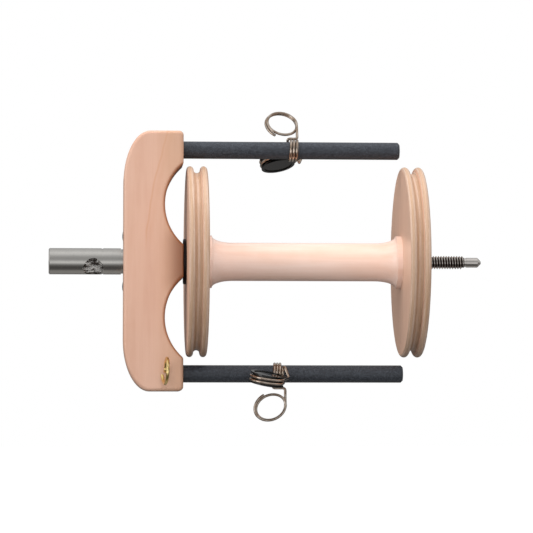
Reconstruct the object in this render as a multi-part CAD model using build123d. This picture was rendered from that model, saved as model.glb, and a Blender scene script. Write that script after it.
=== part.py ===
"""Flyer and bobbin unit of a spinning wheel.

The flyer turns about the X axis.  Yarn enters the orifice tube at its mouth on the -X side,
leaves it through the side hole, runs along one of the two arms through a sliding spring
hook, and winds on the bobbin, which spins freely on the spindle.  +Z is up, and the two
arms lie above and below the axis.  The origin is the middle of the front bearing journal.
"""
from build123d import *
import os
from math import cos, pi, radians, sin, sqrt, tan

# ---------------------------------------------------------------- driving dimensions (mm)
# Orifice tube, half-inch steel
TUBE_D = 12.7
TUBE_BORE_D = 10.0
TUBE_OUT = 36.0             # from its mouth to the wood
TUBE_IN = 14.0              # seated in the wood
TUBE_EDGE = 0.6             # chamfer at the mouth
TUBE_RELIEF = 1.1           # narrowed neck where the tube meets the wood
NECK_D = 11.8
MOUTH_CHAMFER = 1.0         # inside the mouth
MOUTH_X = -8.0
SEAM_FROM_MOUTH = 26.0      # shallow turned ring behind the journal
SEAM_WIDTH = 0.7
SEAM_D = 12.2
SIDE_HOLE_D = 10.0
SIDE_HOLE_FROM_MOUTH = 21.6
SIDE_HOLE_ANGLE = 40.0      # degrees below -Y

# Wooden yoke
YOKE_W = 28.9               # along the axis
YOKE_H = 125.5
YOKE_T = 22.0               # front to back
SHOULDER_RX = 13.0          # rounded orifice-side corners: half widths of the ellipse
SHOULDER_RZ = 25.0
HEEL_R = 2.2                # corners over the arms
SCALLOP_R = 25.7
SCALLOP_Z = 27.3
SCALLOP_DEPTH = 8.9
HORN_R = 2.0                # where a scallop runs out beside an arm
YOKE_EDGE = 1.7             # rounding of the outer edges
SCALLOP_EDGE = 0.8          # rounding of the scalloped edges

# Locking plate of the tube, let into the yoke, and its two screws
PLATE_H = 34.0
PLATE_T = 14.0
PLATE_THICK = 2.0
SCREW_Z = 12.2
SCREW_D = 2.8
SCREW_LENGTH = 11.0
SCREW_HEAD_D = 5.2
SCREW_DOME = 0.45

# Spindle, quarter-inch steel
SPINDLE_D = 6.35
PLUG_X = 19.2               # face of its head inside the tube
PLUG_D = 9.0                # the head, and the narrower rear bore that holds it
THREAD_X = 173.2
THREAD_END_X = 194.0
THREAD_PITCH = 1.27
THREAD_MINOR_D = 4.9
THREAD_ROOTED = 0.15        # how deep the ridge is rooted in the core
THREAD_FOOT = 0.46          # half widths of the ridge in pitches
THREAD_CREST = 0.07
THREAD_RELIEF = 0.9         # undercut between the thread and the tip
RELIEF_D = 4.2
PLUG_EDGE = 3.5             # the cone that turns the yarn out of the side hole
TIP_D = 4.76
TIP_X = 202.1
TIP_EDGE = 1.7

# Arms
ARM_D = 8.4
ARM_Z = 54.3
ARM_SOCKET = 22.0
ARM_END_UPPER_X = 162.3
ARM_END_LOWER_X = 163.6
ARM_EDGE = 0.9

# Friction washer and bobbin
WASHER_D = 22.0
WASHER_THICK = 1.4
WASHER_EDGE = 0.25
END_PLAY = 0.1
FLANGE_D = 92.5
LOBE_R = 1.6                # rounded lips of the rim
GROOVE_R = 1.7              # band groove between the lips
FLANGE_T = 4 * LOBE_R + 2 * GROOVE_R
BOBBIN_LENGTH = 114.1
BARREL_D = 18.5
COLLAR_D = 25.5
COLLAR_LENGTH = 2.5
FLARE_LENGTH = 10.0
TENON_D = 16.0
BARREL_BORE_D = 8.5
BUSH_D = 12.0
BUSH_LENGTH = 13.0
RUNNING = 0.05              # radial clearance of everything that runs on a shaft

# Spring wire hooks
WIRE_D = 1.3
COIL_STEP = 1.42            # from turn to turn
GUIDE_RX = 7.14             # half width of the leaning oval yarn ring, along the arm
GUIDE_RR = 6.07             # and away from the arm
GUIDE_LEAN = -1.1
GUIDE_REACH = 16.3          # arm centre to ring centre
GUIDE_VERTICES = 17         # ten to a turn
GUIDE_STEP = 1.4
CROSSING_R = 6.9            # the wire crosses outside its own coil
CROSSING_RISE = 0.6         # climbed between leaving the coil and crossing it
MIDDLE_ARC = 345.0          # the middle turn stops short of a full turn
COIL_GAP = 54.0             # degrees from the ring's direction to the end of its coil turn
COIL_ARC = 288.0            # degrees of each end turn that lie flat on the arm
LEAD_X = 0.7                # how far the wire swings past the coil before it crosses back
FINGER_R = 8.1              # finger ring, wire centre
FINGER_REACH = 15.5
FINGER_TILT = 10.0          # the ring and its leg lean, far end first, out of the arm's line
FINGER_VERTICES = 15
FINGER_STEP = 1.8
FINGER_LEVEL = 0.75         # turns after which the ring crosses the plane of the leg
BEND_DROP = 0.65            # the bend lies this many steps behind that plane
FINGER_BEND = (5.3, 8.5)    # along the arm from the coil, and out from the arm's centre
FINGER_EXIT_X = 2.8
FINGER_EXIT_ANGLE = -32.0   # where the wire leaves the coil, from the finger ring
RUN_OUT_STEPS = 3           # vertices over which the last turn moves sideways to it
HAIRPIN_R = 1.1             # the wire turns back outwards there
HAIRPIN_VERTICES = 4

# Each hook's place: coil centre, guide and finger directions (degrees about the arm from
# +Y towards +Z), and how far the two rings sit towards the yoke
HOOKS = {
    "upper": dict(z=ARM_Z, x=110.6, guide=62.0, finger=345.0, guide_dx=-5.0, finger_dx=-6.9),
    "lower": dict(z=-ARM_Z, x=102.4, guide=264.0, finger=189.5, guide_dx=-3.0, finger_dx=-5.5),
}

# Finger pad, a black spool inside the two turns of the finger ring
PAD_FLANGE_D = 16.6
PAD_FLANGE_T = 0.6
PAD_WAIST_T = 4.0
PAD_SHIFT = 0.1             # centre of the wound wire, beside the plane of the leg
PAD_RIM = 1.4               # rim around the dished face
PAD_DISH = 0.4

# Brass pigtail eye on the yoke
EYE_WIRE_D = 1.6
EYE_OUTER_D = 13.5
EYE_X = 48.1
EYE_Z = -53.3
EYE_STANDOFF = 1.4          # wood to the near edge of the ring
EYE_TURN = 6.0              # degrees that the ring is turned to the side
EYE_STEP = 1.8
EYE_DEPTH = 6.0

# ---------------------------------------------------------------- worked-out places
YOKE_X = MOUTH_X + TUBE_OUT
NOSE_X = YOKE_X + YOKE_W
WASHER_X = NOSE_X + END_PLAY
BOBBIN_X = WASHER_X + WASHER_THICK + END_PLAY
REAR_FLANGE_X = BOBBIN_X + BOBBIN_LENGTH - FLANGE_T
SCALLOP_X = NOSE_X - SCALLOP_DEPTH + SCALLOP_R
SCALLOP_HALF = sqrt(SCALLOP_R ** 2 - (SCALLOP_X - NOSE_X) ** 2)    # half its height at the nose
COIL_R = ARM_D / 2 + RUNNING + WIRE_D / 2
STEPS_PER_TURN = 10
HALF_STEP = 180.0 / STEPS_PER_TURN
NEAR = 0.1                  # when an edge or a corner counts as lying on a face
PAST = 1.0                  # how far a cut or a joined piece runs past the face it meets
ARC_SHARE = 0.47            # of a straight run that the bend at one of its ends may take


def rod(diameter, x0, x1, z=0.0, edge0=0.0, edge1=0.0):
    """A round bar along X with chamfered ends."""
    r = diameter / 2
    points = [(x0, z), (x0, z + r - edge0), (x0 + edge0, z + r), (x1 - edge1, z + r),
              (x1, z + r - edge1), (x1, z)]
    outline = [p for i, p in enumerate(points) if i == 0 or p != points[i - 1]]
    face = Plane.XZ * make_face(Polyline(*outline, close=True))
    return revolve(face, Axis((0, 0, z), (1, 0, 0)))


def about_arm(hook, along, reach, angle):
    """A point beside an arm: along it from the coil, out from its centre, round it."""
    a = radians(angle)
    return Vector(hook["x"] + along, reach * cos(a), hook["z"] + reach * sin(a))


def wire(points, diameter):
    """Round wire along straight runs joined by the largest tangent arcs that fit."""
    radii = []
    for before, here, after in zip(points, points[1:], points[2:]):
        turn = (here - before).get_angle(after - here)
        shorter = min((here - before).length, (after - here).length)
        radii.append(ARC_SHARE * shorter / tan(radians(turn) / 2))
    path = FilletPolyline(*points, radius=radii)
    section = Plane(origin=path @ 0, z_dir=path % 0) * Circle(diameter / 2)
    return sweep(section, path=path)


# ---------------------------------------------------------------- flyer
def yoke_outline():
    """Outline in the XZ plane: elliptical shoulders, two scallops and a flat nose."""
    top = YOKE_H / 2
    lines = []
    for side in (1, -1):
        outer = side * (SCALLOP_Z + SCALLOP_HALF)
        inner = side * (SCALLOP_Z - SCALLOP_HALF)
        shoulder = EllipticalCenterArc((YOKE_X + SHOULDER_RX, side * (top - SHOULDER_RZ)),
                                       SHOULDER_RX, SHOULDER_RZ,
                                       start_angle=90 if side > 0 else 180, arc_size=90)
        scallop = ThreePointArc((NOSE_X, outer), (NOSE_X - SCALLOP_DEPTH, side * SCALLOP_Z),
                                (NOSE_X, inner))
        lines += [shoulder, Line((YOKE_X + SHOULDER_RX, side * top), (NOSE_X, side * top)),
                  Line((NOSE_X, side * top), (NOSE_X, outer)), scallop]
    straight = top - SHOULDER_RZ
    nose = SCALLOP_Z - SCALLOP_HALF
    lines += [Line((YOKE_X, -straight), (YOKE_X, straight)), Line((NOSE_X, nose), (NOSE_X, -nose))]
    return make_face(lines)


def rim_edges(block):
    """Edges that lie in the front or the back face of the yoke."""
    return [e for e in block.edges() if abs(abs(e.center().Y) - YOKE_T / 2) < NEAR]


def on_scallop_side(edge, reach):
    """True for an edge on the bobbin side, no farther than reach above or below the axis."""
    return edge.center().X > YOKE_X + YOKE_W / 2 and abs(edge.center().Z) < reach


def yoke_blank():
    """The shaped and rounded wooden block before it is bored."""
    face = yoke_outline()
    heels = [v for v in face.vertices() if v.X > NOSE_X - NEAR and abs(v.Y) > YOKE_H / 2 - NEAR]
    face = fillet(heels, HEEL_R)
    horn_z = SCALLOP_Z + SCALLOP_HALF
    horns = [v for v in face.vertices() if v.X > NOSE_X - NEAR and abs(abs(v.Y) - horn_z) < NEAR]
    face = fillet(horns, HORN_R)
    block = extrude(Plane.XZ * face, YOKE_T / 2, both=True)
    outer = [e for e in rim_edges(block) if not on_scallop_side(e, ARM_Z)]
    block = fillet(outer, YOKE_EDGE)
    scalloped = [e for e in rim_edges(block) if on_scallop_side(e, horn_z - HORN_R)]
    return fillet(scalloped, SCALLOP_EDGE)


def flyer_yoke():
    """Yoke with its tube, spindle, plate, screw, arm and eye seats."""
    body = yoke_blank()
    body -= rod(TUBE_D, YOKE_X - PAST, YOKE_X + TUBE_IN)
    body -= rod(SPINDLE_D, YOKE_X, NOSE_X + PAST)
    body -= plate_blank(PAST)
    for side in (1, -1):
        body -= rod(ARM_D, NOSE_X - ARM_SOCKET, NOSE_X + PAST, side * ARM_Z)
    body -= orifice_screws()
    body -= eye_hole()
    return body


def plate_blank(proud=0.0):
    """Round-ended plate lying in the orifice side of the yoke."""
    shape = SlotOverall(PLATE_H, PLATE_T)
    seat = Plane(origin=(YOKE_X - proud, 0, 0), x_dir=(0, 0, 1), z_dir=(1, 0, 0))
    return extrude(seat * shape, PLATE_THICK + proud)


def orifice_plate():
    body = plate_blank() - rod(TUBE_D, YOKE_X - PAST, YOKE_X + PLATE_THICK + PAST)
    return body - orifice_screws()


def orifice_screw(z):
    """Raised countersunk screw: dome, cone and shank turned from one profile."""
    head = SCREW_HEAD_D / 2
    shank = SCREW_D / 2
    cone = head - shank
    tip = SCREW_LENGTH
    ball = (head ** 2 + SCREW_DOME ** 2) / (2 * SCREW_DOME)
    crown = ball - SCREW_DOME - sqrt(ball ** 2 - head ** 2 / 4)
    outline = [Line((tip, 0), (tip - shank, shank)),
               Line((tip - shank, shank), (cone, shank)),
               Line((cone, shank), (0, head)),
               ThreePointArc((0, head), (crown, head / 2), (-SCREW_DOME, 0)),
               Line((-SCREW_DOME, 0), (tip, 0))]
    solid = revolve(Plane.XZ * make_face(outline), Axis.X)
    return Pos(YOKE_X, 0, z) * solid


def orifice_screws():
    return orifice_screw(SCREW_Z) + orifice_screw(-SCREW_Z)


def outer_groove(x0, x1, floor_d):
    """What a groove round the tube takes away, down to its floor."""
    return rod(TUBE_D + 2 * PAST, x0, x1) - rod(floor_d, x0 - PAST, x1 + PAST)


def orifice_tube():
    """Steel tube with a chamfered mouth, a neck at the wood and a side hole for the yarn."""
    end = YOKE_X + TUBE_IN
    seam = MOUTH_X + SEAM_FROM_MOUTH
    body = rod(TUBE_D, MOUTH_X, end, edge0=TUBE_EDGE)
    body -= outer_groove(YOKE_X - TUBE_RELIEF, YOKE_X, NECK_D)
    body -= outer_groove(seam - SEAM_WIDTH / 2, seam + SEAM_WIDTH / 2, SEAM_D)
    body -= rod(PLUG_D, MOUTH_X, end + PAST)
    body -= rod(TUBE_BORE_D, MOUTH_X - PAST, PLUG_X)
    flared = TUBE_BORE_D + 2 * MOUTH_CHAMFER
    body -= rod(flared, MOUTH_X - PAST, MOUTH_X + MOUTH_CHAMFER, edge1=MOUTH_CHAMFER)
    a = radians(SIDE_HOLE_ANGLE)
    out = Vector(0, -cos(a), -sin(a))
    cutter = Plane(origin=(MOUTH_X + SIDE_HOLE_FROM_MOUTH, 0, 0), z_dir=out)
    return body - extrude(cutter * Circle(SIDE_HOLE_D / 2), TUBE_D)


def thread_ridge():
    """One continuous V-shaped ridge that starts and ends half a pitch inside the thread."""
    depth = (SPINDLE_D - THREAD_MINOR_D) / 2
    start_x = THREAD_X + THREAD_PITCH / 2
    height = THREAD_END_X - THREAD_X - THREAD_PITCH
    path = Helix(THREAD_PITCH, height, THREAD_MINOR_D / 2, center=(start_x, 0, 0), direction=(1, 0, 0))
    foot = THREAD_PITCH * THREAD_FOOT
    crest = THREAD_PITCH * THREAD_CREST
    start = path @ 0
    plane = Plane(origin=start, x_dir=start - Vector(start_x, 0, 0), z_dir=path % 0)
    ridge = Polyline((-THREAD_ROOTED, -foot), (0, -foot), (depth, -crest), (depth, crest), (0, foot),
                     (-THREAD_ROOTED, foot), close=True)
    return sweep(plane * make_face(ridge), path=path, is_frenet=True)


def spindle():
    """Steel spindle: plug head, plain stretch, threaded end and bearing tip."""
    plug_end = YOKE_X + TUBE_IN
    body = rod(PLUG_D, PLUG_X, plug_end, edge0=PLUG_EDGE)
    body += rod(SPINDLE_D, plug_end - PAST, THREAD_X)
    body += rod(THREAD_MINOR_D, THREAD_X - PAST, THREAD_END_X)
    body += rod(RELIEF_D, THREAD_END_X - PAST, THREAD_END_X + THREAD_RELIEF + PAST)
    body += rod(TIP_D, THREAD_END_X + THREAD_RELIEF, TIP_X, edge1=TIP_EDGE)
    return body + thread_ridge()


def arm(z, end_x):
    return rod(ARM_D, NOSE_X - ARM_SOCKET, end_x, z, edge1=ARM_EDGE)


def eye_directions():
    a = radians(EYE_TURN)
    outward = Vector(sin(a), -cos(a), 0)
    sideways = Vector(-cos(a), -sin(a), 0)
    return outward, sideways


def eye_hole():
    """The hole for the straight end of the eye."""
    outward, _ = eye_directions()
    face = Vector(EYE_X, -YOKE_T / 2, EYE_Z)
    seat = Plane(origin=face - outward * EYE_DEPTH, z_dir=outward)
    return extrude(seat * Circle(EYE_WIRE_D / 2), EYE_DEPTH + PAST)


def yarn_eye():
    """Brass pigtail eye: shank, square bend and one turn that ends beside the shank."""
    outward, sideways = eye_directions()
    ring_r = (EYE_OUTER_D - EYE_WIRE_D) / 2
    face = Vector(EYE_X, -YOKE_T / 2, EYE_Z)
    near = face + outward * (EYE_STANDOFF + EYE_WIRE_D / 2)
    centre = near + outward * ring_r
    up = Vector(0, 0, 1)
    points = [face - outward * EYE_DEPTH, near]
    for step in range(STEPS_PER_TURN):
        t = HALF_STEP * (2 * step + 1)
        reach = ring_r / cos(radians(HALF_STEP))
        drift = sideways * (EYE_STEP * (t / 360) ** 2)
        points.append(centre - outward * (reach * cos(radians(t))) + up * (reach * sin(radians(t)))
                      + drift)
    return wire(points, EYE_WIRE_D)


# ---------------------------------------------------------------- washer and bobbin
def friction_washer():
    end = WASHER_X + WASHER_THICK
    disc = rod(WASHER_D, WASHER_X, end, edge0=WASHER_EDGE, edge1=WASHER_EDGE)
    return disc - rod(SPINDLE_D + 2 * RUNNING, WASHER_X - PAST, end + PAST)


def flange(x):
    """Bobbin end: a disc with a round groove for the band between two rounded lips."""
    r = FLANGE_D / 2
    lip = r - LOBE_R
    a = x + 2 * LOBE_R
    b = a + 2 * GROOVE_R
    c = b + 2 * LOBE_R
    outline = [Line((x, 0), (x, lip)),
               ThreePointArc((x, lip), (x + LOBE_R, r), (a, lip)),
               ThreePointArc((a, lip), (a + GROOVE_R, lip - GROOVE_R), (b, lip)),
               ThreePointArc((b, lip), (b + LOBE_R, r), (c, lip)),
               Line((c, lip), (c, 0)), Line((c, 0), (x, 0))]
    disc = revolve(Plane.XZ * make_face(outline), Axis.X)
    return disc - rod(TENON_D, x - PAST, c + PAST)


def bobbin_barrel():
    """Turned barrel: flared collars against the flanges and a tenon through each of them."""
    a = BOBBIN_X + FLANGE_T
    b = REAR_FLANGE_X
    collar = COLLAR_D / 2
    core = BARREL_D / 2
    rise = collar - core
    left = a + COLLAR_LENGTH + FLARE_LENGTH
    right = b - COLLAR_LENGTH - FLARE_LENGTH
    outline = [Line((a, 0), (a, collar)), Line((a, collar), (a + COLLAR_LENGTH, collar)),
               EllipticalCenterArc((left, collar), FLARE_LENGTH, rise, start_angle=180, arc_size=90),
               Line((left, core), (right, core)),
               EllipticalCenterArc((right, collar), FLARE_LENGTH, rise, start_angle=270, arc_size=90),
               Line((b - COLLAR_LENGTH, collar), (b, collar)), Line((b, collar), (b, 0)),
               Line((b, 0), (a, 0))]
    body = revolve(Plane.XZ * make_face(outline), Axis.X)
    body += rod(TENON_D, BOBBIN_X, BOBBIN_X + BOBBIN_LENGTH)
    body -= rod(BARREL_BORE_D, BOBBIN_X - PAST, BOBBIN_X + BOBBIN_LENGTH + PAST)
    end = BOBBIN_X + BOBBIN_LENGTH
    body -= rod(BUSH_D, BOBBIN_X - PAST, BOBBIN_X + BUSH_LENGTH)
    return body - rod(BUSH_D, end - BUSH_LENGTH, end + PAST)


def bobbin_bush(x):
    return rod(BUSH_D, x, x + BUSH_LENGTH) \
        - rod(SPINDLE_D + 2 * RUNNING, x - PAST, x + BUSH_LENGTH + PAST)


# ---------------------------------------------------------------- spring hooks
def coil_turn(hook, along, first, last):
    """Vertices of a flat turn round the arm, from one angle to another."""
    count = round(abs(last - first) / (2 * HALF_STEP))
    reach = COIL_R / cos(radians(HALF_STEP))
    return [about_arm(hook, along, reach, first + (last - first) * k / count)
            for k in range(count + 1)]


def hook_coil(hook):
    """Middle turn of the coil, which grips the arm."""
    seat = Plane(origin=(hook["x"], 0, hook["z"]), x_dir=(0, 1, 0), z_dir=(1, 0, 0))
    start = hook["guide"] + (360.0 - MIDDLE_ARC) / 2
    ring = seat * CenterArc((0, 0), COIL_R, start, MIDDLE_ARC)
    section = Plane(origin=ring @ 0, z_dir=ring % 0) * Circle(WIRE_D / 2)
    return sweep(section, path=ring)


def hook_guide(hook):
    """One coil turn, the crossing over the coil, the leg and the yarn ring."""
    g = hook["guide"]
    start = -COIL_STEP - LEAD_X
    points = coil_turn(hook, -COIL_STEP, g - COIL_GAP - COIL_ARC, g - COIL_GAP)
    points.append(about_arm(hook, start, CROSSING_R - CROSSING_RISE, g - COIL_GAP / 2))
    points.append(about_arm(hook, start, CROSSING_R, g))
    points.append(about_arm(hook, hook["guide_dx"] + GUIDE_RX, CROSSING_R, g))
    across = radians(g - 90)
    aside = Vector(0, cos(across), sin(across))
    for step in range(GUIDE_VERTICES):
        t = HALF_STEP * (2 * step + 1)
        c = cos(radians(t)) / cos(radians(HALF_STEP))
        s = sin(radians(t)) / cos(radians(HALF_STEP))
        on_ring = about_arm(hook, hook["guide_dx"] + GUIDE_RX * c,
                            GUIDE_REACH + GUIDE_LEAN * c + GUIDE_RR * s, g)
        points.append(on_ring + aside * (GUIDE_STEP * t / 360))
    return wire(points, WIRE_D)


def finger_entry(hook):
    """Angle on the finger ring at which the leg from the bend meets it."""
    along = hook["finger_dx"] - FINGER_BEND[0]
    out = FINGER_REACH - FINGER_BEND[1]
    toward = Vector(1, 0).get_signed_angle(Vector(along, out))
    spread = Vector(1, 0).get_angle(Vector(sqrt(along ** 2 + out ** 2 - FINGER_R ** 2), FINGER_R))
    return toward - spread - 90


def finger_directions(hook):
    """Along the leaning plane of the finger ring, out from the arm, and square to the ring."""
    f = radians(hook["finger"])
    lean = radians(FINGER_TILT)
    out = Vector(0, cos(f), sin(f))
    aside = Vector(0, -sin(f), cos(f))
    level = Vector(cos(lean), 0, 0) + aside * sin(lean)
    lift = aside * cos(lean) - Vector(sin(lean), 0, 0)
    return level, out, lift


def hairpin(hook, exit_angle):
    """The wire leaves the coil, turns back outwards and heads for the bend of the leg."""
    a = radians(exit_angle)
    out = Vector(0, cos(a), sin(a))
    onward = Vector(0, sin(a), -cos(a))
    centre = about_arm(hook, 0, COIL_R + HAIRPIN_R, exit_angle)
    points = []
    for k in range(HAIRPIN_VERTICES):
        turned = pi * (k + 0.5) / HAIRPIN_VERTICES
        reach = HAIRPIN_R / cos(pi / 2 / HAIRPIN_VERTICES)
        along = FINGER_EXIT_X + (k + 0.5) / HAIRPIN_VERTICES
        bend = onward * (reach * sin(turned)) - out * (reach * cos(turned))
        points.append(centre + Vector(along, 0, 0) + bend)
    return points


def hook_finger(hook):
    """Last coil turn, the hairpin, the leg and the turns of the finger ring."""
    f = hook["finger"]
    exit_angle = f + FINGER_EXIT_ANGLE
    step = 2 * HALF_STEP
    flat_end = exit_angle + HALF_STEP + RUN_OUT_STEPS * step
    points = coil_turn(hook, COIL_STEP, flat_end + COIL_ARC, flat_end)
    reach = COIL_R / cos(radians(HALF_STEP))
    for k in range(1, RUN_OUT_STEPS + 1):
        along = COIL_STEP + (FINGER_EXIT_X - COIL_STEP) * k / RUN_OUT_STEPS
        points.append(about_arm(hook, along, reach, flat_end - k * step))
    points += hairpin(hook, exit_angle)
    centre = about_arm(hook, hook["finger_dx"], FINGER_REACH, f)
    level, out, lift = finger_directions(hook)
    bend = level * (FINGER_BEND[0] - hook["finger_dx"]) + out * (FINGER_BEND[1] - FINGER_REACH)
    points.append(centre + bend - lift * (BEND_DROP * FINGER_STEP))
    entry = finger_entry(hook)
    for step in range(FINGER_VERTICES):
        t = entry + HALF_STEP * (2 * step + 1)
        reach = FINGER_R / cos(radians(HALF_STEP))
        on_ring = centre + level * (reach * cos(radians(t))) + out * (reach * sin(radians(t)))
        points.append(on_ring + lift * (FINGER_STEP * (t / 360 - FINGER_LEVEL)))
    return wire(points, WIRE_D)


def finger_pad(hook):
    """Black spool held in the turns of the finger ring, with a dished face on both ends."""
    level, _, lift = finger_directions(hook)
    middle = about_arm(hook, hook["finger_dx"], FINGER_REACH, hook["finger"]) + lift * PAD_SHIFT
    waist = FINGER_R - WIRE_D / 2 - RUNNING
    half = PAD_WAIST_T / 2
    seat = Plane(origin=middle, x_dir=level, z_dir=lift)
    body = extrude(seat * Circle(waist), half, both=True)
    for end in (1, -1):
        cap = seat.offset(end * half)
        rim = extrude(cap * Circle(PAD_FLANGE_D / 2), end * PAD_FLANGE_T)
        dished = Circle(PAD_FLANGE_D / 2 - PAD_RIM)
        dish = extrude(cap.offset(end * PAD_FLANGE_T) * dished, -end * PAD_DISH)
        body += rim - dish
    return body


# ---------------------------------------------------------------- all the pieces
def pieces():
    made = {
        "flyer_yoke": flyer_yoke(),
        "orifice_tube": orifice_tube(),
        "orifice_plate": orifice_plate(),
        "orifice_screws": orifice_screws(),
        "spindle": spindle(),
        "arm_upper": arm(ARM_Z, ARM_END_UPPER_X),
        "arm_lower": arm(-ARM_Z, ARM_END_LOWER_X),
        "yarn_eye": yarn_eye(),
        "friction_washer": friction_washer(),
        "bobbin_barrel": bobbin_barrel(),
        "bobbin_front_flange": flange(BOBBIN_X),
        "bobbin_rear_flange": flange(REAR_FLANGE_X),
        "bobbin_front_bush": bobbin_bush(BOBBIN_X),
        "bobbin_rear_bush": bobbin_bush(BOBBIN_X + BOBBIN_LENGTH - BUSH_LENGTH),
    }
    for name, hook in HOOKS.items():
        made[f"hook_{name}_coil"] = hook_coil(hook)
        made[f"hook_{name}_guide"] = hook_guide(hook)
        made[f"hook_{name}_finger"] = hook_finger(hook)
        made[f"hook_{name}_pad"] = finger_pad(hook)
    return made


os.makedirs("parts", exist_ok=True)
for node, shape in pieces().items():
    export_step(shape, f"parts/{node}.step")
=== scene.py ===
"""Looks of the flyer and bobbin unit: materials, spring wires, stage, lights and camera."""
from math import atan2, cos, degrees, hypot, pi, radians, sin, sqrt

import bpy
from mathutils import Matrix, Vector


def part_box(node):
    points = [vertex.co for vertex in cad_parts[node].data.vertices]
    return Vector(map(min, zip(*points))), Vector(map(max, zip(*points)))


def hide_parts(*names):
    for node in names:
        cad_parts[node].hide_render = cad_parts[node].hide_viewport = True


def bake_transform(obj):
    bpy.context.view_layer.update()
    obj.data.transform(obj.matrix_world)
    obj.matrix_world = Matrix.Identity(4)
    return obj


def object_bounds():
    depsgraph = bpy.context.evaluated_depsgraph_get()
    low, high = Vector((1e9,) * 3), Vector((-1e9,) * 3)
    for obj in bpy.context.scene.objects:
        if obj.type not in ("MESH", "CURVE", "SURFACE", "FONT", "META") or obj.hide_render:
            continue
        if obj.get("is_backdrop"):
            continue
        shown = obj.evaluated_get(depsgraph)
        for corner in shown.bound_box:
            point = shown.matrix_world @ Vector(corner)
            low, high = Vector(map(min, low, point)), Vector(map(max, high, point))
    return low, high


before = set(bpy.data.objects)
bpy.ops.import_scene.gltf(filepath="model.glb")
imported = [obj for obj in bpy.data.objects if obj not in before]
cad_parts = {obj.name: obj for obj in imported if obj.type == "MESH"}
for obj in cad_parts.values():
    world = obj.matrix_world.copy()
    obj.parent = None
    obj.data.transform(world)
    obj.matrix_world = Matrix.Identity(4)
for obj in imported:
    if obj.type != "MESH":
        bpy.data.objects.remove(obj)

cad_box = [list(corner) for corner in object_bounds()]

MM = 0.001
BORE_R = 5.0                # of the orifice tube, in millimetres
WIRE_R = 0.65 * MM
COIL_R = 4.9 * MM           # arm centre to wire centre

# Each hook: the direction of its yarn ring about the arm (degrees from +Y towards +Z), the
# ring's offset along the arm, the angle at which the helix passes the coil's middle, and the
# distance from turn to turn
HOOKS = {
    "upper": dict(guide=62.0, guide_dx=-5.0 * MM, middle=-540.0, pitch=1.46 * MM),
    "lower": dict(guide=264.0, guide_dx=-3.0 * MM, middle=-180.0, pitch=1.34 * MM),
}


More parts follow.
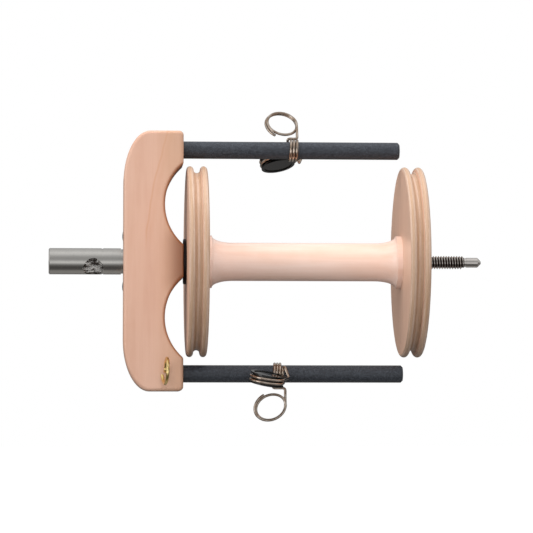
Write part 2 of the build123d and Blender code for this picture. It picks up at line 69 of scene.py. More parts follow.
# ---------------------------------------------------------------- shader graph helper
class Look:
    """A material's node graph, read in the object's own coordinates in millimetres."""

    def __init__(self, name, roughness=0.5, metallic=0.0, **sockets):
        self.mat = bpy.data.materials.new(name)
        self.mat.use_nodes = True
        self.tree = self.mat.node_tree
        self.shader = self.tree.nodes["Principled BSDF"]
        self.shader.inputs["Roughness"].default_value = roughness
        self.shader.inputs["Metallic"].default_value = metallic
        for socket, value in sockets.items():
            self.shader.inputs[socket.replace("_", " ")].default_value = value
        place = self.add("ShaderNodeTexCoord").outputs["Object"]
        self.place = self.scaled(place, (1 / MM, 1 / MM, 1 / MM))
        self.bumps = None

    def add(self, kind, **settings):
        node = self.tree.nodes.new(kind)
        for key, value in settings.items():
            setattr(node, key, value)
        return node

    def join(self, value, socket):
        """Links an output, or sets a plain value."""
        if isinstance(value, bpy.types.NodeSocket):
            self.tree.links.new(value, socket)
        else:
            socket.default_value = value

    def scaled(self, vector, scale):
        node = self.add("ShaderNodeVectorMath", operation="MULTIPLY")
        self.join(vector, node.inputs[0])
        node.inputs[1].default_value = scale
        return node.outputs[0]

    def axes(self):
        node = self.add("ShaderNodeSeparateXYZ")
        self.join(self.place, node.inputs[0])
        return node.outputs

    def from_axis(self):
        """Distance from the X axis."""
        _, y, z = self.axes()
        squares = self.math("ADD", self.math("MULTIPLY", y, y), self.math("MULTIPLY", z, z))
        return self.math("SQRT", squares)

    def facing_x(self):
        """How squarely the surface faces along X, from 0 to 1."""
        node = self.add("ShaderNodeSeparateXYZ")
        self.join(self.add("ShaderNodeTexCoord").outputs["Normal"], node.inputs[0])
        return self.math("ABSOLUTE", node.outputs[0])

    def math(self, operation, a, b=0.0, c=0.0):
        node = self.add("ShaderNodeMath", operation=operation)
        for value, socket in zip((a, b, c), node.inputs):
            self.join(value, socket)
        return node.outputs[0]

    def noise(self, sizes, detail=2.0, rough=0.5, vector=None):
        """Noise whose blobs are about sizes millimetres long on the three axes."""
        node = self.add("ShaderNodeTexNoise")
        spread = self.scaled(vector or self.place, tuple(1 / s for s in sizes))
        self.join(spread, node.inputs["Vector"])
        node.inputs["Scale"].default_value = 1.0
        node.inputs["Detail"].default_value = detail
        node.inputs["Roughness"].default_value = rough
        return node.outputs["Fac"]

    def band(self, value, low, high, out_low=0.0, out_high=1.0):
        """Maps low..high onto out_low..out_high, smooth and clamped."""
        node = self.add("ShaderNodeMapRange", interpolation_type="SMOOTHSTEP")
        for entry, socket in zip((value, low, high, out_low, out_high), node.inputs):
            self.join(entry, socket)
        return node.outputs[0]

    def ramp(self, value, stops, interpolation="LINEAR"):
        node = self.add("ShaderNodeValToRGB")
        node.color_ramp.interpolation = interpolation
        elements = node.color_ramp.elements
        while len(elements) < len(stops):
            elements.new(0.5)
        for element, (place, colour) in zip(elements, stops):
            element.position = place
            element.color = (*colour, 1.0)
        self.join(value, node.inputs[0])
        return node.outputs[0]

    def mix(self, share, a, b, blend="MIX"):
        node = self.add("ShaderNodeMix", data_type="RGBA", blend_type=blend)
        self.join(share, node.inputs["Factor"])
        for value, socket in ((a, node.inputs[6]), (b, node.inputs[7])):
            self.join((*value, 1.0) if isinstance(value, tuple) else value, socket)
        return node.outputs[2]

    def bump(self, height, depth_mm, strength=1.0):
        """Adds relief of about depth_mm for heights from 0 to 1."""
        node = self.add("ShaderNodeBump")
        node.inputs["Strength"].default_value = strength
        node.inputs["Distance"].default_value = depth_mm * MM
        self.join(height, node.inputs["Height"])
        if self.bumps is not None:
            self.join(self.bumps, node.inputs["Normal"])
        self.bumps = node.outputs[0]

    def finish(self, colour=None, roughness=None):
        if colour is not None:
            self.join(colour, self.shader.inputs["Base Color"])
        if roughness is not None:
            self.join(roughness, self.shader.inputs["Roughness"])
        if self.bumps is not None:
            self.join(self.bumps, self.shader.inputs["Normal"])
        return self.mat


# ---------------------------------------------------------------- materials
BEECH = (0.880, 0.640, 0.540)
BEECH_PALE = (0.910, 0.690, 0.600)
BEECH_DARK = (0.760, 0.480, 0.350)


def beech_grain(look, grain, light, mid, dark):
    """Colour of beech whose fibres run along one axis: 0 is X, 2 is Z."""
    def stretched(across, along):
        sizes = [across, across, across]
        sizes[grain] = along
        return tuple(sizes)

    broad = look.noise(stretched(7.0, 90.0), detail=3.0)
    fibre = look.noise(stretched(0.55, 26.0), detail=4.0, rough=0.6)
    fleck = look.noise(stretched(0.22, 1.5), detail=1.0)
    mottle = look.noise((6.0, 6.0, 6.0), detail=2.0)
    soft = tuple((a + b) / 2 for a, b in zip(mid, dark))
    colour = look.ramp(look.band(broad, 0.3, 0.7), [(0.0, light), (0.55, mid), (1.0, soft)])
    colour = look.mix(look.band(fibre, 0.35, 0.75, 0.0, 0.22), colour, dark)
    colour = look.mix(look.band(fleck, 0.66, 0.74, 0.0, 0.30), colour, dark)
    colour = look.mix(look.band(mottle, 0.35, 0.7, 0.0, 0.18), colour, light)
    return colour, fibre, fleck


# The yoke's scallops; then the growth streak's line: offset, slope, curve and wander
SCALLOP_R = 25.7
SCALLOP_Z = 27.3
SCALLOP_DEPTH = 8.9
STREAK_OFFSET = -5.0
STREAK_SLOPE = 0.035
STREAK_CURVE = 0.0023
STREAK_WANDER = 1.8


def yoke_streak(look, x, z, middle):
    """How strongly the orange growth streak shows: a thin line with a soft band beside it."""
    wander = look.noise((40.0, 40.0, 9.0), detail=1.0)
    line = look.math("MULTIPLY_ADD", look.math("MULTIPLY", z, z), STREAK_CURVE, middle + STREAK_OFFSET)
    line = look.math("MULTIPLY_ADD", z, STREAK_SLOPE, line)
    line = look.math("MULTIPLY_ADD", wander, STREAK_WANDER, line)
    off = look.math("SUBTRACT", x, line)
    above = look.band(z, 2.0, 16.0)
    thin = look.band(look.math("ABSOLUTE", off), 0.0, 0.75, 0.42, 0.0)
    soft = look.band(look.math("ABSOLUTE", look.math("SUBTRACT", off, 2.0)), 0.0, 2.4, 0.16, 0.0)
    return look.math("ADD", look.math("MULTIPLY", thin, above), look.math("MULTIPLY", soft, above))


def into_scallop(look, x, z, nose_x):
    """Distance into the wood from the nearer scallop's surface."""
    across = look.math("SUBTRACT", x, nose_x - SCALLOP_DEPTH + SCALLOP_R)
    along = look.math("SUBTRACT", look.math("ABSOLUTE", z), SCALLOP_Z)
    across = look.math("MULTIPLY", across, across)
    along = look.math("MULTIPLY", along, along)
    return look.math("SUBTRACT", look.math("SQRT", look.math("ADD", across, along)), SCALLOP_R)


def yoke_wood():
    """Beech with painted shade: warmer and darker orange-brown towards its nose, and dark along the
    scallops' edges.
    """
    look = Look("yoke_wood", roughness=0.42, Coat_Weight=0.25, Coat_Roughness=0.28)
    light = (0.625, 0.390, 0.290)
    mid = (0.600, 0.362, 0.264)
    colour, fibre, fleck = beech_grain(look, 2, light, mid, (0.530, 0.295, 0.200))
    x, _, z = look.axes()
    low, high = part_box("flyer_yoke")
    middle = (low.x + high.x) / 2 / MM
    nose_x = high.x / MM
    streak = yoke_streak(look, x, z, middle)
    colour = look.mix(streak, colour, (0.520, 0.235, 0.115))
    # Painted shade and warm bounce light: the wood turns a darker orange-brown towards the nose, where the
    # flange shades it
    painted_warm_shade = look.band(x, nose_x - 16.0, nose_x - 4.0, 0.0, 0.45)
    colour = look.mix(painted_warm_shade, colour, (0.530, 0.315, 0.190))
    # Painted shade: the nose, in the gap of the two scallops, is darkened most near its end
    nose = look.band(x, nose_x - 12.0, nose_x, 0.0, 0.9)
    shade_between_scallops = look.band(look.math("ABSOLUTE", z), 9.0, 20.0, 1.0, 0.15)
    colour = look.mix(look.math("MULTIPLY", nose, shade_between_scallops), colour, (0.215, 0.080, 0.034))
    # Painted shade: a dark orange-brown line along the scallops' rounded edges
    edge = look.band(into_scallop(look, x, z, nose_x), 0.25, 1.3, 0.85, 0.0)
    colour = look.mix(edge, colour, (0.330, 0.125, 0.050))
    look.bump(fibre, 0.02)
    look.bump(fleck, 0.012)
    return look.finish(colour, look.band(fibre, 0.2, 0.8, 0.36, 0.48))


def barrel_wood():
    look = Look("barrel_wood", roughness=0.36, Coat_Weight=0.3, Coat_Roughness=0.2)
    colour, fibre, fleck = beech_grain(look, 0, BEECH_PALE, BEECH, BEECH_DARK)
    turned = look.noise((0.35, 60.0, 60.0), detail=1.0)
    look.bump(fibre, 0.02)
    look.bump(fleck, 0.03)
    look.bump(turned, 0.008)
    return look.finish(colour, look.band(fibre, 0.2, 0.8, 0.30, 0.44))


def flange_wood(node):
    """Cross-laminated beech: plain veneer on both faces, the edges of the plies on the rim."""
    look = Look(f"flange_wood_{node}", roughness=0.4, Coat_Weight=0.2, Coat_Roughness=0.25)
    low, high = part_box(node)
    plies = 9
    x, _, _ = look.axes()
    wobble = look.noise((30.0, 12.0, 12.0), detail=1.0)
    per_mm = plies / ((high.x - low.x) / MM)
    place = look.math("MULTIPLY", look.math("SUBTRACT", x, low.x / MM), per_mm)
    place = look.math("MULTIPLY_ADD", wobble, 0.5, place)
    within = look.math("FRACT", place)
    odd = look.math("GREATER_THAN", look.math("MODULO", place, 2.0), 1.0)
    tone = look.noise((0.7, 26.0, 26.0), detail=3.0, rough=0.65)
    dashes = look.noise((0.18, 1.6, 1.6), detail=3.0, rough=0.7)
    face_grain = look.noise((0.6, 0.6, 30.0), detail=4.0, rough=0.6)
    veneer = [(0.0, (0.770, 0.505, 0.370)), (1.0, (0.690, 0.425, 0.295))]
    face = look.ramp(look.band(face_grain, 0.3, 0.75), veneer)
    rim = look.mix(odd, (0.610, 0.440, 0.340), (0.520, 0.345, 0.235))
    rim = look.mix(look.band(tone, 0.42, 0.66, 0.0, 0.6), rim, (0.400, 0.235, 0.130))
    rim = look.mix(look.band(dashes, 0.4, 0.7, 0.0, 0.45), rim, (0.400, 0.250, 0.155))
    glue = look.band(look.math("ABSOLUTE", look.math("SUBTRACT", within, 0.5)), 0.40, 0.5, 0.0, 0.35)
    rim = look.mix(glue, rim, (0.300, 0.165, 0.090))
    flat = look.band(look.facing_x(), 0.90, 0.97)
    look.bump(dashes, 0.03)
    look.bump(face_grain, 0.02)
    return look.finish(look.mix(flat, rim, face), look.band(face_grain, 0.2, 0.8, 0.34, 0.48))


def turned_steel(name, colour, roughness):
    """Steel turned on a lathe about X: fine rings and faint blotches."""
    look = Look(name, roughness=roughness, metallic=1.0, Anisotropic=0.35)
    rings = look.noise((0.18, 90.0, 90.0), detail=3.0, rough=0.7)
    blotch = look.noise((5.0, 3.0, 3.0), detail=3.0)
    dark = tuple(c * 0.78 for c in colour)
    shade = look.mix(look.band(rings, 0.3, 0.7, 0.0, 0.35), colour, dark)
    shade = look.mix(look.band(blotch, 0.4, 0.75, 0.0, 0.25), shade, dark)
    look.bump(rings, 0.006)
    return look.finish(shade, look.band(rings, 0.2, 0.8, roughness * 0.8, roughness * 1.3))


def tube_steel():
    """The outside is turned; the bore is duller, uneven and lit through the side hole, with painted
    reflections, bright and dark, in its colour.
    """
    look = Look("tube_steel", roughness=0.19, metallic=1.0, Anisotropic=0.35)
    inside = look.band(look.from_axis(), BORE_R + 0.1, BORE_R + 0.4, 1.0, 0.0)
    rings = look.noise((0.18, 90.0, 90.0), detail=3.0, rough=0.7)
    blotch = look.noise((5.0, 3.0, 3.0), detail=3.0)
    crumple = look.noise((2.6, 1.6, 1.6), detail=2.0)
    bright, dull = (0.56, 0.545, 0.52), (0.437, 0.425, 0.406)
    shade = look.mix(look.band(rings, 0.3, 0.7, 0.0, 0.35), bright, dull)
    shade = look.mix(look.band(blotch, 0.4, 0.75, 0.0, 0.25), shade, dull)
    # Painted reflections: crumpled bright and dark patches in the bore's colour
    bore_painted_reflections = look.ramp(look.band(crumple, 0.42, 0.56), [(0.0, (0.10, 0.08, 0.07)), (1.0, (1.0, 0.98, 0.95))])
    look.bump(rings, 0.006)
    look.bump(look.math("MULTIPLY", crumple, inside), 1.2)
    bare = look.band(look.from_axis(), BORE_R + 0.1, BORE_R + 0.4, 0.25, 1.0)
    look.join(bare, look.shader.inputs["Metallic"])
    return look.finish(look.mix(inside, shade, bore_painted_reflections), look.band(rings, 0.2, 0.8, 0.15, 0.25))


THREAD_FROM_TIP = 18.5        # middle of the thread, from the spindle's tip
THREAD_HALF = 10.4
THREAD_CREST_R = 3.1
THREAD_ROOT_R = 2.5


def spindle_steel():
    """Bright turned steel, dark in the roots of its thread."""
    look = Look("spindle_steel", roughness=0.14, metallic=1.0)
    rings = look.noise((0.3, 90.0, 90.0), detail=3.0, rough=0.7)
    x, _, _ = look.axes()
    _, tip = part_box("spindle")
    off = look.math("ABSOLUTE", look.math("SUBTRACT", x, tip.x / MM - THREAD_FROM_TIP))
    threaded = look.band(off, THREAD_HALF - 0.4, THREAD_HALF, 1.0, 0.0)
    root = look.band(look.from_axis(), THREAD_ROOT_R, THREAD_CREST_R, 1.0, 0.0)
    shade = look.mix(look.band(rings, 0.3, 0.7, 0.0, 0.35), (0.66, 0.63, 0.60), (0.42, 0.38, 0.35))
    shade = look.mix(look.math("MULTIPLY", root, threaded), shade, (0.045, 0.028, 0.020))
    look.bump(rings, 0.004)
    return look.finish(shade, look.band(rings, 0.2, 0.8, 0.10, 0.20))


def powder_coat():
    look = Look("arm_coating", roughness=0.5, Specular_IOR_Level=0.4)
    grit = look.noise((0.30, 0.30, 0.30), detail=2.0, rough=0.6)
    clump = look.noise((1.6, 0.9, 0.9), detail=3.0, rough=0.6)
    colour = look.mix(look.band(grit, 0.45, 0.75), (0.016, 0.018, 0.023), (0.088, 0.100, 0.122))
    colour = look.mix(look.band(clump, 0.45, 0.7, 0.0, 0.5), colour, (0.060, 0.068, 0.082))
    look.bump(grit, 0.06)
    look.bump(clump, 0.04)
    return look.finish(colour, look.band(clump, 0.3, 0.7, 0.38, 0.58))


def brass():
    look = Look("eye_brass", roughness=0.16, metallic=1.0)
    tarnish = look.noise((2.5, 2.5, 2.5), detail=3.0)
    tones = [(0.0, (0.86, 0.66, 0.30)), (1.0, (0.66, 0.46, 0.16))]
    colour = look.ramp(look.band(tarnish, 0.3, 0.75), tones)
    look.bump(look.noise((0.4, 0.4, 0.4)), 0.006)
    return look.finish(colour, look.band(tarnish, 0.3, 0.8, 0.12, 0.26))


def black_plastic(name, roughness, colour=(0.012, 0.012, 0.014), specular=0.55):
    look = Look(name, roughness=roughness, Specular_IOR_Level=specular)
    grain = look.noise((0.5, 0.5, 0.5), detail=3.0)
    scuff = look.noise((3.0, 3.0, 3.0), detail=2.0)
    shade = look.mix(look.band(scuff, 0.4, 0.75, 0.0, 0.6), colour, tuple(c * 2.2 for c in colour))
    look.bump(grain, 0.01)
    return look.finish(shade, look.band(scuff, 0.3, 0.75, roughness * 0.8, roughness * 1.35))


def acetal():
    look = Look("bush_plastic", roughness=0.45, Subsurface_Weight=0.15)
    look.shader.inputs["Subsurface Radius"].default_value = (0.002, 0.002, 0.002)
    cloud = look.noise((4.0, 4.0, 4.0), detail=3.0)
    colour = look.mix(look.band(cloud, 0.3, 0.7), (0.82, 0.80, 0.74), (0.74, 0.71, 0.63))
    look.bump(look.noise((0.2, 8.0, 8.0)), 0.01)
    return look.finish(colour, look.band(cloud, 0.3, 0.7, 0.38, 0.5))


def spring_steel():
    look = Look("spring_wire", roughness=0.1, metallic=1.0)
    heat = look.noise((3.0, 3.0, 3.0), detail=3.0)
    drawn = look.noise((0.25, 0.25, 0.25), detail=2.0)
    tones = [(0.0, (0.58, 0.50, 0.43)), (1.0, (0.31, 0.225, 0.165))]
    colour = look.ramp(look.band(heat, 0.3, 0.75), tones)
    look.bump(drawn, 0.006)
    return look.finish(colour, look.band(drawn, 0.3, 0.75, 0.06, 0.16))


def paint(node, material):
    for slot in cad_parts[node].material_slots:
        slot.material = material


def paint_cad_nodes():
    paint("flyer_yoke", yoke_wood())
    paint("orifice_tube", tube_steel())
    paint("orifice_plate", turned_steel("plate_steel", (0.45, 0.45, 0.45), 0.3))
    paint("orifice_screws", turned_steel("screw_steel", (0.48, 0.48, 0.50), 0.25))
    paint("spindle", spindle_steel())
    coat = powder_coat()
    paint("arm_upper", coat)
    paint("arm_lower", coat)
    paint("yarn_eye", brass())
    paint("friction_washer", black_plastic("washer_black", 0.45, (0.004, 0.003, 0.003), 0.2))
    paint("bobbin_barrel", barrel_wood())
    for node in ("bobbin_front_flange", "bobbin_rear_flange"):
        paint(node, flange_wood(node))
    bush = acetal()
    paint("bobbin_front_bush", bush)
    paint("bobbin_rear_bush", bush)
    pad = black_plastic("pad_rubber", 0.1, (0.003, 0.003, 0.003), 0.35)
    paint("hook_upper_pad", pad)
    paint("hook_lower_pad", pad)


# ---------------------------------------------------------------- spring wires
class Arm:
    """Places beside one arm: along it from the coil's middle, out from its centre, round it."""

    def __init__(self, name):
        low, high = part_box(f"hook_{name}_coil")
        self.middle = (low + high) / 2
        low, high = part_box(f"hook_{name}_pad")
        pad = (low + high) / 2 - self.middle
        self.finger_dx = pad.x
        self.finger_reach = hypot(pad.y, pad.z)
        self.finger = degrees(atan2(pad.z, pad.y))

    def at(self, along, reach, angle):
        a = radians(angle)
        return self.middle + Vector((along, reach * cos(a), reach * sin(a)))

    def across(self, angle):
        a = radians(angle)
        return Vector((0, cos(a), sin(a)))


GUIDE_RX = 7.14 * MM
GUIDE_RR = 6.07 * MM
GUIDE_LEAN = -1.1 * MM
GUIDE_REACH = 16.3 * MM
GUIDE_TURN = 606.0
GUIDE_SPRUNG = 380.0         # from here the free end springs open
GUIDE_OPENING = 0.14
GUIDE_STEP = 1.4 * MM
CROSSING_R = 6.9 * MM       # the wire crosses outside its own coil
CROSSING_SWING = 0.35 * MM  # how far it runs past the coil, and half way back
CROSSING_RETURN = 0.15 * MM
CROSSING_TURN = 2.0         # and how far it has turned by then, in degrees
FINGER_R = 8.1 * MM
FINGER_TILT = 10.0
FINGER_TURN = 520.0
FINGER_STEP = 1.8 * MM
FINGER_LEVEL = 0.75         # the angle, in turns, at which the ring has no rise
BEND_DROP = 0.65            # how many steps the bend lies below that
FINGER_BEND_X = 5.3 * MM
FINGER_BEND_R = 8.5 * MM
EXIT_ANGLE = -32.0          # where the wire leaves the coil, from the finger ring
ENTRY_ANGLE = -40.0         # where it joins the coil, from the yarn ring
HAIRPIN_R = 1.1 * MM
HAIRPIN_FROM, HAIRPIN_TO, HAIRPIN_STEP = 20.0, 165.0, 18.0
HAIRPIN_SLIDE = 1.0 * MM    # along the arm in half a turn
LEAST_COIL_TURN = 1000.0    # degrees
FINE_STEP = 8.0             # degrees from point to point


def steps(first, last, size=FINE_STEP):
    count = max(1, round(abs(last - first) / size))
    return [first + (last - first) * k / count for k in range(count + 1)]


def guide_route(arm, hook):
    """From the free end of the yarn ring, round it, down the leg and across the coil."""
    g = hook["guide"]
    aside = arm.across(g - 90)
    points = []
    for t in steps(GUIDE_TURN, 0.0):
        wider = 1 + GUIDE_OPENING * max(0.0, t - GUIDE_SPRUNG) / (GUIDE_TURN - GUIDE_SPRUNG)
        c, s = wider * cos(radians(t)), wider * sin(radians(t))
        on_ring = arm.at(hook["guide_dx"] + GUIDE_RX * c, GUIDE_REACH + GUIDE_LEAN * c + GUIDE_RR * s, g)
        points.append(on_ring + aside * (GUIDE_STEP * t / 360))
    start = -(g + ENTRY_ANGLE - hook["middle"]) / 360 * hook["pitch"]
    points.append(arm.at(hook["guide_dx"] + GUIDE_RX, CROSSING_R, g))
    points.append(arm.at(start - CROSSING_SWING, CROSSING_R, g + CROSSING_TURN))
    points.append(arm.at(start - CROSSING_RETURN, (CROSSING_R + COIL_R) / 2, g + ENTRY_ANGLE / 2))
    return points


def coil_route(arm, hook):
    """The helix on the arm: each turn lies beside the last, and the angle falls along X."""
    first = hook["guide"] + ENTRY_ANGLE
    last = arm.finger + EXIT_ANGLE
    while last > first - LEAST_COIL_TURN:
        last -= 360
    return [arm.at(-(a - hook["middle"]) / 360 * hook["pitch"], COIL_R, a) for a in steps(first, last)]


def finger_route(arm, along):
    """The hairpin out of the coil, the leg to its bend, and the finger ring."""
    f = arm.finger
    leave = f + EXIT_ANGLE
    out, onward = arm.across(leave), -arm.across(leave + 90)
    centre = arm.at(0, COIL_R + HAIRPIN_R, leave)
    points = []
    for turned in steps(HAIRPIN_FROM, HAIRPIN_TO, HAIRPIN_STEP):
        a = radians(turned)
        slide = Vector((along + HAIRPIN_SLIDE * turned / 180, 0, 0))
        points.append(centre + slide + (onward * sin(a) - out * cos(a)) * HAIRPIN_R)
    lean = radians(FINGER_TILT)
    ring = arm.at(arm.finger_dx, arm.finger_reach, f)
    aside, along_x = arm.across(f + 90), Vector((1, 0, 0))
    level = along_x * cos(lean) + aside * sin(lean)
    lift = aside * cos(lean) - along_x * sin(lean)
    bend = level * (FINGER_BEND_X - arm.finger_dx) + arm.across(f) * (FINGER_BEND_R - arm.finger_reach)
    points.append(ring + bend - lift * (BEND_DROP * FINGER_STEP))
    back = Vector((arm.finger_dx - FINGER_BEND_X, arm.finger_reach - FINGER_BEND_R))
    toward = degrees(atan2(back.y, back.x))
    entry = toward - degrees(atan2(FINGER_R, sqrt(back.length_squared - FINGER_R ** 2))) - 90
    for t in steps(entry, entry + FINGER_TURN):
        c, s = cos(radians(t)), sin(radians(t))
        on_ring = ring + level * (FINGER_R * c) + arm.across(f) * (FINGER_R * s)
        points.append(on_ring + lift * (FINGER_STEP * (t / 360 - FINGER_LEVEL)))
    return points


GENTLE = 16.0               # degrees; a bend up to this needs no curve
LEG_SHARE = 0.48            # the most of a leg that its curve may take
CURVE_STEPS = 6


def softened(points, reach=1.3 * MM):
    """Rounds each sharp corner with a short curve; gentle ones are kept."""
    result = [points[0]]
    for before, here, after in zip(points, points[1:], points[2:]):
        a, b = before - here, after - here
        if a.length < 1e-7 or b.length < 1e-7:
            continue
        if a.angle(-b) < radians(GENTLE):
            result.append(here)
            continue
        start = here + a.normalized() * min(reach, LEG_SHARE * a.length)
        end = here + b.normalized() * min(reach, LEG_SHARE * b.length)
        for k in range(CURVE_STEPS + 1):
            t = k / CURVE_STEPS
            result.append(start * (1 - t) ** 2 + here * (2 * t * (1 - t)) + end * t ** 2)
    result.append(points[-1])
    return result


def evenly(points, gap=0.45 * MM):
    """The same route with points at equal distances."""
    lengths = [0.0]
    for a, b in zip(points, points[1:]):
        lengths.append(lengths[-1] + (b - a).length)
    count = round(lengths[-1] / gap)
    result = []
    k = 0
    for i in range(count + 1):
        want = lengths[-1] * i / count
        while k < len(points) - 2 and lengths[k + 1] < want:
            k += 1
        span = max(lengths[k + 1] - lengths[k], 1e-9)
        result.append(points[k].lerp(points[k + 1], (want - lengths[k]) / span))
    return result


CUT_EDGE = 0.2              # chamfer of a cut end, as a share of the wire's radius


def tube_mesh(name, points, radius, sides=16):
    """A round wire along points, with a small chamfer on both cut ends."""
    tangents = []
    for i in range(len(points)):
        ahead = points[min(i + 1, len(points) - 1)]
        behind = points[max(i - 1, 0)]
        tangents.append((ahead - behind).normalized())
    normal = tangents[0].orthogonal().normalized()
    edge = CUT_EDGE * radius
    rows = [(points[0], tangents[0], radius - edge)]
    rows += [(p, t, radius) for p, t in zip(points, tangents)]
    rows[1] = (points[0] + tangents[0] * edge, tangents[0], radius)
    rows[-1] = (points[-1] - tangents[-1] * edge, tangents[-1], radius)
    rows.append((points[-1], tangents[-1], radius - edge))
    verts, faces = [], []
    for centre, tangent, r in rows:
        normal = (normal - tangent * normal.dot(tangent)).normalized()
        other = tangent.cross(normal)
        for k in range(sides):
            a = 2 * pi * k / sides
            verts.append(centre + (normal * cos(a) + other * sin(a)) * r)
    for i in range(len(rows) - 1):
        for k in range(sides):
            n = (k + 1) % sides
            faces.append((i * sides + k, i * sides + n, (i + 1) * sides + n, (i + 1) * sides + k))
    last = (len(rows) - 1) * sides
    faces.append(tuple(reversed(range(sides))))
    faces.append(tuple(range(last, last + sides)))
    mesh = bpy.data.meshes.new(name)
    mesh.from_pydata([tuple(v) for v in verts], [], faces)
    for polygon in mesh.polygons:
        polygon.use_smooth = len(polygon.vertices) == 4
    mesh.update()
    thing = bpy.data.objects.new(name, mesh)
    bpy.context.scene.collection.objects.link(thing)
    return thing


def spring_wire(name, material):
    """One wire: yarn ring, coil and finger ring."""
    arm = Arm(name)
    hook = HOOKS[name]
    guide = guide_route(arm, hook)
    coil = coil_route(arm, hook)
    finger = finger_route(arm, coil[-1].x - arm.middle.x)
    wire = tube_mesh(f"spring_wire_{name}", evenly(softened(guide + coil + finger)), WIRE_R)
    wire.data.materials.append(material)
    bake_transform(wire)
    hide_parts(*(f"hook_{name}_{part}" for part in ("coil", "guide", "finger")))


# ---------------------------------------------------------------- stage, lights, camera
FLOOR_DROP = 0.13
FLOOR_SPAN = 30.0


def floor():
    low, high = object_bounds()
    z = low.z - FLOOR_DROP
    half = FLOOR_SPAN / 2
    mesh = bpy.data.meshes.new("floor")
    corners = [(-half, -half, z), (half, -half, z), (half, half, z), (-half, half, z)]
    mesh.from_pydata(corners, [], [(0, 1, 2, 3)])
    thing = bpy.data.objects.new("floor", mesh)
    bpy.context.scene.collection.objects.link(thing)
    look = Look("studio_floor", roughness=0.7, Emission_Strength=0.45)
    look.shader.inputs["Emission Color"].default_value = (1.0, 1.0, 1.0, 1.0)
    haze = look.noise((400.0, 400.0, 400.0), detail=2.0)
    mesh.materials.append(look.finish(look.mix(haze, (0.86, 0.86, 0.86), (0.90, 0.90, 0.895))))
    thing.visible_diffuse = False
    thing.visible_glossy = False
    thing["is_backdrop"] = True


# What the room shows at each angle about the X axis: 0 is level in front, 90 straight up,
# 180 level behind and -90 straight down
ROOM_BANDS = [(-180, 0.10), (-150, 0.22), (-115, 0.36), (-93, 0.30), (-80, 0.12), (-58, 0.09),
              (-42, 0.16), (-31, 0.32), (-22, 0.66), (-13, 0.95), (-4, 0.80), (5, 0.56), (15, 0.44),
              (30, 0.46), (45, 0.62), (60, 0.88), (80, 1.02), (95, 0.84), (125, 0.68), (155, 0.45),
              (180, 0.10)]
WARM_BELOW = -35            # light from below this angle is a little warm
WARM_BLUE = 0.94


def room():
    """White to the eye, and to everything else soft bands of light that run along the X axis."""
    world = bpy.data.worlds.new("room")
    bpy.context.scene.world = world
    world.use_nodes = True
    tree = world.node_tree
    tree.nodes.clear()
    add, link = tree.nodes.new, tree.links.new
    out = add("ShaderNodeOutputWorld")
    way = add("ShaderNodeTexCoord")
    split = add("ShaderNodeSeparateXYZ")
    link(way.outputs["Generated"], split.inputs[0])
    front = add("ShaderNodeMath")
    front.operation = "MULTIPLY"
    front.inputs[1].default_value = -1.0
    link(split.outputs["Y"], front.inputs[0])
    angle = add("ShaderNodeMath")
    angle.operation = "ARCTAN2"
    link(split.outputs["Z"], angle.inputs[0])
    link(front.outputs[0], angle.inputs[1])
    share = add("ShaderNodeMapRange")
    share.inputs["From Min"].default_value = -pi
    share.inputs["From Max"].default_value = pi
    link(angle.outputs[0], share.inputs["Value"])
    ramp = add("ShaderNodeValToRGB")
    link(share.outputs[0], ramp.inputs[0])
    elements = ramp.color_ramp.elements
    while len(elements) < len(ROOM_BANDS):
        elements.new(0.5)
    for element, (degree, grey) in zip(elements, ROOM_BANDS):
        element.position = (degree + 180) / 360
        warm = WARM_BLUE if degree < WARM_BELOW else 1.0
        element.color = (grey, grey * (1 + warm) / 2, grey * warm, 1.0)
    dim = add("ShaderNodeBackground")
    link(ramp.outputs[0], dim.inputs["Color"])
    white = add("ShaderNodeBackground")
    white.inputs["Color"].default_value = (1.0, 1.0, 1.0, 1.0)
    path = add("ShaderNodeLightPath")
    pick = add("ShaderNodeMixShader")
    link(path.outputs["Is Camera Ray"], pick.inputs[0])
    link(dim.outputs[0], pick.inputs[1])
    link(white.outputs[0], pick.inputs[2])
    link(pick.outputs[0], out.inputs["Surface"])


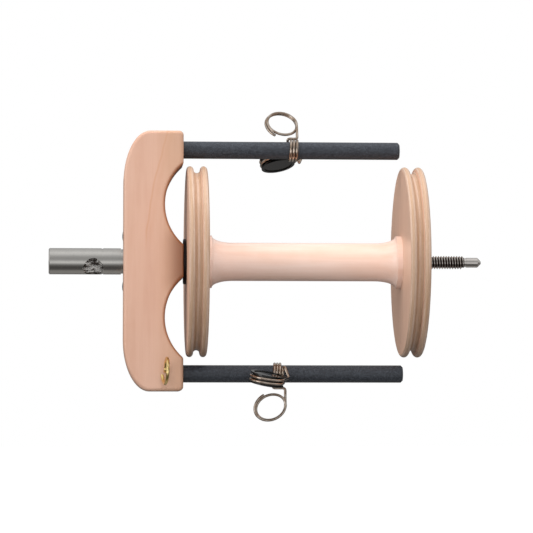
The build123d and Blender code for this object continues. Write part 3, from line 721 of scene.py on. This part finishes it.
def lamp(name, kind, place, target, energy, colour=(1, 1, 1), **settings):
    data = bpy.data.lights.new(name, kind)
    data.energy = energy
    data.color = colour
    for key, value in settings.items():
        setattr(data, key, value)
    thing = bpy.data.objects.new(name, data)
    thing.location = place
    thing.rotation_euler = (Vector(target) - Vector(place)).to_track_quat("-Z", "Y").to_euler()
    bpy.context.scene.collection.objects.link(thing)
    return thing


# Soft suns: name, direction from the object, strength, and width in degrees
SUNS = [("front", (0.0, -0.95, 0.28), 1.05, 30),
        ("low_right", (0.22, -0.70, -0.62), 1.25, 25),
        ("high_left", (-0.80, -0.62, 0.42), 0.60, 45)]


def lights(centre):
    """Suns and a panel above that only light surfaces, and a panel that shows in the gloss."""
    c = centre
    for name, way, energy, spread in SUNS:
        sun = lamp(name, "SUN", c + Vector(way), c, energy, angle=radians(spread))
        sun.visible_glossy = False
    top = lamp("top_soft", "AREA", c + Vector((0.0, -0.04, 0.36)), c, 1.3,
               shape="RECTANGLE", size=0.5, size_y=0.25)
    top.visible_glossy = False
    lamp("left_soft", "AREA", c + Vector((-0.55, -0.35, 0.05)), c, 0.7,
         shape="RECTANGLE", size=0.3, size_y=0.4)


CAMERA_BACK = 1.3095
CAMERA_X = 0.0167
CAMERA_Z = -0.0795
AIM = (0.0975, 0.0, -0.0022)
PICTURE_WIDTH_AT_AXIS = 258.7 * MM
SENSOR_WIDTH = 36.0


def camera():
    """A long lens level with the lower arm and near the yoke, aimed at the picture's middle."""
    data = bpy.data.cameras.new("camera")
    place = Vector((CAMERA_X, -CAMERA_BACK, CAMERA_Z))
    away = (Vector(AIM) - place).length
    data.sensor_width = SENSOR_WIDTH
    data.lens = SENSOR_WIDTH * away / PICTURE_WIDTH_AT_AXIS
    data.clip_start, data.clip_end = 0.05, 100.0
    thing = bpy.data.objects.new("camera", data)
    thing.location = place
    thing.rotation_euler = (Vector(AIM) - place).to_track_quat("-Z", "Y").to_euler()
    bpy.context.scene.collection.objects.link(thing)
    bpy.context.scene.camera = thing


# ---------------------------------------------------------------- make everything
paint_cad_nodes()
steel_wire = spring_steel()
for hook_name in HOOKS:
    spring_wire(hook_name, steel_wire)
floor()
room()
lights((Vector(cad_box[0]) + Vector(cad_box[1])) / 2)
camera()
bpy.context.scene.view_settings.view_transform = "Standard"
